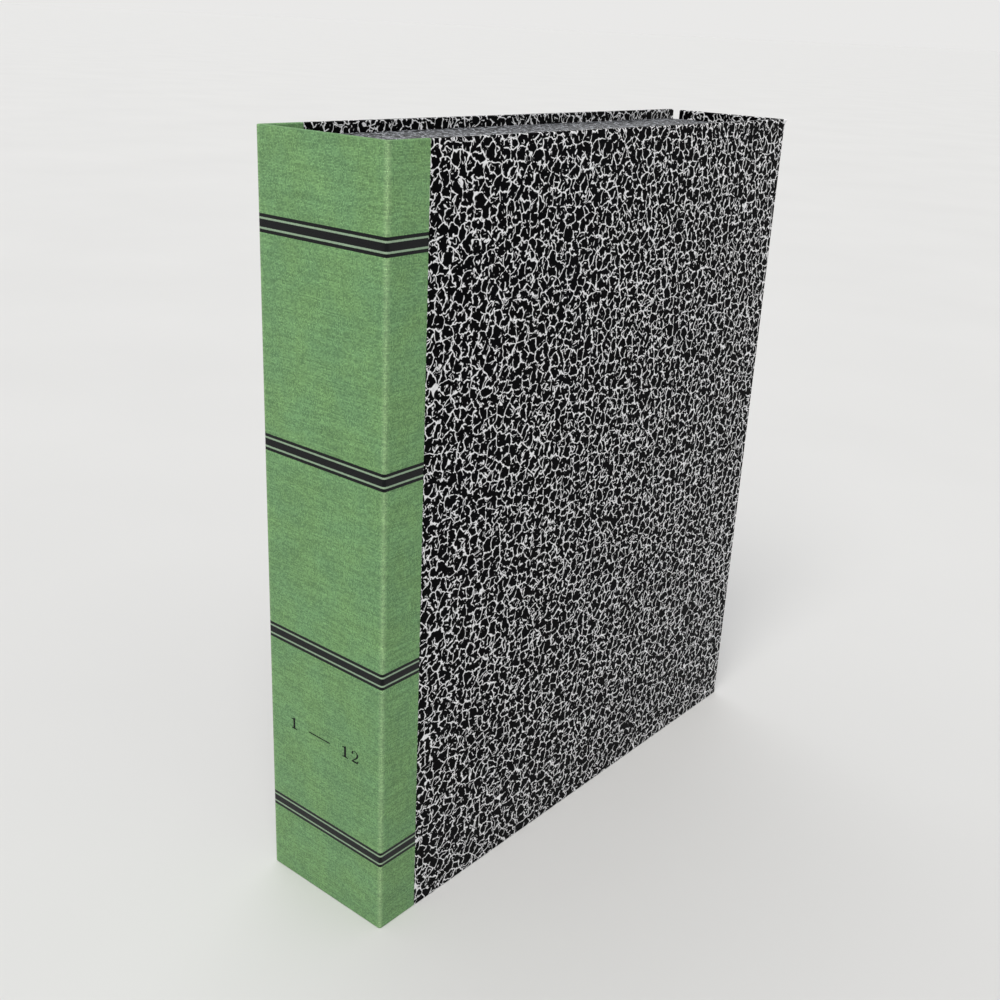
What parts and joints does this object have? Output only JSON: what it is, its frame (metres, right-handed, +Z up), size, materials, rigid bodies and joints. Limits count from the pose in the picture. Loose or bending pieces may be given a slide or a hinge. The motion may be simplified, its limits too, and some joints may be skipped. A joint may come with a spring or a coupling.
{
  "type": "expanding file",
  "caption": "Book-shaped expanding file with a cloth spine, paper-covered boards, a hinged cover, a fore-edge flap and a bellows of numbered pockets.",
  "frame": {"origin": "bottom centre of the closed file, standing on its tail edges", "axes": "+Z up along the spine, -Y out of the spine, +X out of the front cover, +Y out of the fore-edge flap"},
  "size_m": [0.0666, 0.272, 0.318],
  "materials": {
    "greyboard": "matt grey pulp board",
    "bookcloth": "matt woven bookcloth, green with printed black bands",
    "marbled_paper": "black paper with fine white veins, slightly glossy",
    "lining_paper": "matt cream paper",
    "card": "matt buff card",
    "gusset_paper": "matt green paper",
    "label_paper": "matt white paper"
  },
  "bodies": {
    "case": {"back_board": "greyboard", "spine_board": "greyboard", "back_cover_paper": "marbled_paper", "back_cover_cloth": "bookcloth", "spine_cloth": "bookcloth", "spine_hinge_fold": "bookcloth", "back_lining": "lining_paper", "spine_lining": "lining_paper", "tray_base": "greyboard", "tray_spine_wall": "greyboard", "tray_head_wall": "greyboard", "tray_tail_wall": "greyboard", "tray_head_paper": "marbled_paper", "tray_tail_paper": "marbled_paper", "bellows_back_panel": "card", "gusset_12": "gusset_paper", "index_label_12": "label_paper"},
    "divider_leaf_01": {"divider_01": "card", "gusset_11": "gusset_paper", "index_label_11": "label_paper"},
    "divider_leaf_02": {"divider_02": "card", "gusset_10": "gusset_paper", "index_label_10": "label_paper"},
    "divider_leaf_03": {"divider_03": "card", "gusset_09": "gusset_paper", "index_label_09": "label_paper"},
    "divider_leaf_04": {"divider_04": "card", "gusset_08": "gusset_paper", "index_label_08": "label_paper"},
    "divider_leaf_05": {"divider_05": "card", "gusset_07": "gusset_paper", "index_label_07": "label_paper"},
    "divider_leaf_06": {"divider_06": "card", "gusset_06": "gusset_paper", "index_label_06": "label_paper"},
    "divider_leaf_07": {"divider_07": "card", "gusset_05": "gusset_paper", "index_label_05": "label_paper"},
    "divider_leaf_08": {"divider_08": "card", "gusset_04": "gusset_paper", "index_label_04": "label_paper"},
    "divider_leaf_09": {"divider_09": "card", "gusset_03": "gusset_paper", "index_label_03": "label_paper"},
    "divider_leaf_10": {"divider_10": "card", "gusset_02": "gusset_paper", "index_label_02": "label_paper"},
    "divider_leaf_11": {"divider_11": "card", "gusset_01": "gusset_paper", "index_label_01": "label_paper"},
    "front_cover": {"front_board": "greyboard", "front_cover_paper": "marbled_paper", "front_cover_cloth": "bookcloth", "front_lining": "lining_paper", "bellows_front_panel": "card", "flap_hinge_fold": "marbled_paper"},
    "fore_edge_flap": {"flap_board": "greyboard", "flap_paper": "marbled_paper", "flap_lining": "lining_paper"}
  },
  "joints": [
    {"name": "cover_hinge", "type": "hinge", "parent": "case", "child": "front_cover", "pos_m": [0.03269, -0.13544, 0.159], "axis": [0, 0, -1], "range_deg": [0, 35], "deforming": ["spine_hinge_fold", "gusset_01", "gusset_02", "gusset_03", "gusset_04", "gusset_05", "gusset_06", "gusset_07", "gusset_08", "gusset_09", "gusset_10", "gusset_11", "gusset_12"]},
    {"name": "flap_hinge", "type": "hinge", "parent": "front_cover", "child": "fore_edge_flap", "pos_m": [0.03269, 0.13544, 0.159], "axis": [0, 0, -1], "range_deg": [0, 180], "deforming": ["flap_hinge_fold"]},
    {"name": "leaf_fold_01", "type": "hinge", "parent": "case", "child": "divider_leaf_01", "pos_m": [0.03269, -0.13544, 0.159], "axis": [0, 0, -1], "range_deg": [0, 2.93]},
    {"name": "leaf_fold_02", "type": "hinge", "parent": "case", "child": "divider_leaf_02", "pos_m": [0.03269, -0.13544, 0.159], "axis": [0, 0, -1], "range_deg": [0, 5.84]},
    {"name": "leaf_fold_03", "type": "hinge", "parent": "case", "child": "divider_leaf_03", "pos_m": [0.03269, -0.13544, 0.159], "axis": [0, 0, -1], "range_deg": [0, 8.76]},
    {"name": "leaf_fold_04", "type": "hinge", "parent": "case", "child": "divider_leaf_04", "pos_m": [0.03269, -0.13544, 0.159], "axis": [0, 0, -1], "range_deg": [0, 11.68]},
    {"name": "leaf_fold_05", "type": "hinge", "parent": "case", "child": "divider_leaf_05", "pos_m": [0.03269, -0.13544, 0.159], "axis": [0, 0, -1], "range_deg": [0, 14.59]},
    {"name": "leaf_fold_06", "type": "hinge", "parent": "case", "child": "divider_leaf_06", "pos_m": [0.03269, -0.13544, 0.159], "axis": [0, 0, -1], "range_deg": [0, 17.51]},
    {"name": "leaf_fold_07", "type": "hinge", "parent": "case", "child": "divider_leaf_07", "pos_m": [0.03269, -0.13544, 0.159], "axis": [0, 0, -1], "range_deg": [0, 20.43]},
    {"name": "leaf_fold_08", "type": "hinge", "parent": "case", "child": "divider_leaf_08", "pos_m": [0.03269, -0.13544, 0.159], "axis": [0, 0, -1], "range_deg": [0, 23.34]},
    {"name": "leaf_fold_09", "type": "hinge", "parent": "case", "child": "divider_leaf_09", "pos_m": [0.03269, -0.13544, 0.159], "axis": [0, 0, -1], "range_deg": [0, 26.26]},
    {"name": "leaf_fold_10", "type": "hinge", "parent": "case", "child": "divider_leaf_10", "pos_m": [0.03269, -0.13544, 0.159], "axis": [0, 0, -1], "range_deg": [0, 29.18]},
    {"name": "leaf_fold_11", "type": "hinge", "parent": "case", "child": "divider_leaf_11", "pos_m": [0.03269, -0.13544, 0.159], "axis": [0, 0, -1], "range_deg": [0, 32.09]}
  ],
  "couplings": [
    {"joint": "leaf_fold_01", "follows": "cover_hinge", "ratio": 0.083333},
    {"joint": "leaf_fold_02", "follows": "cover_hinge", "ratio": 0.16667},
    {"joint": "leaf_fold_03", "follows": "cover_hinge", "ratio": 0.25},
    {"joint": "leaf_fold_04", "follows": "cover_hinge", "ratio": 0.33333},
    {"joint": "leaf_fold_05", "follows": "cover_hinge", "ratio": 0.41667},
    {"joint": "leaf_fold_06", "follows": "cover_hinge", "ratio": 0.5},
    {"joint": "leaf_fold_07", "follows": "cover_hinge", "ratio": 0.58333},
    {"joint": "leaf_fold_08", "follows": "cover_hinge", "ratio": 0.66667},
    {"joint": "leaf_fold_09", "follows": "cover_hinge", "ratio": 0.75},
    {"joint": "leaf_fold_10", "follows": "cover_hinge", "ratio": 0.83333},
    {"joint": "leaf_fold_11", "follows": "cover_hinge", "ratio": 0.91667}
  ]
}
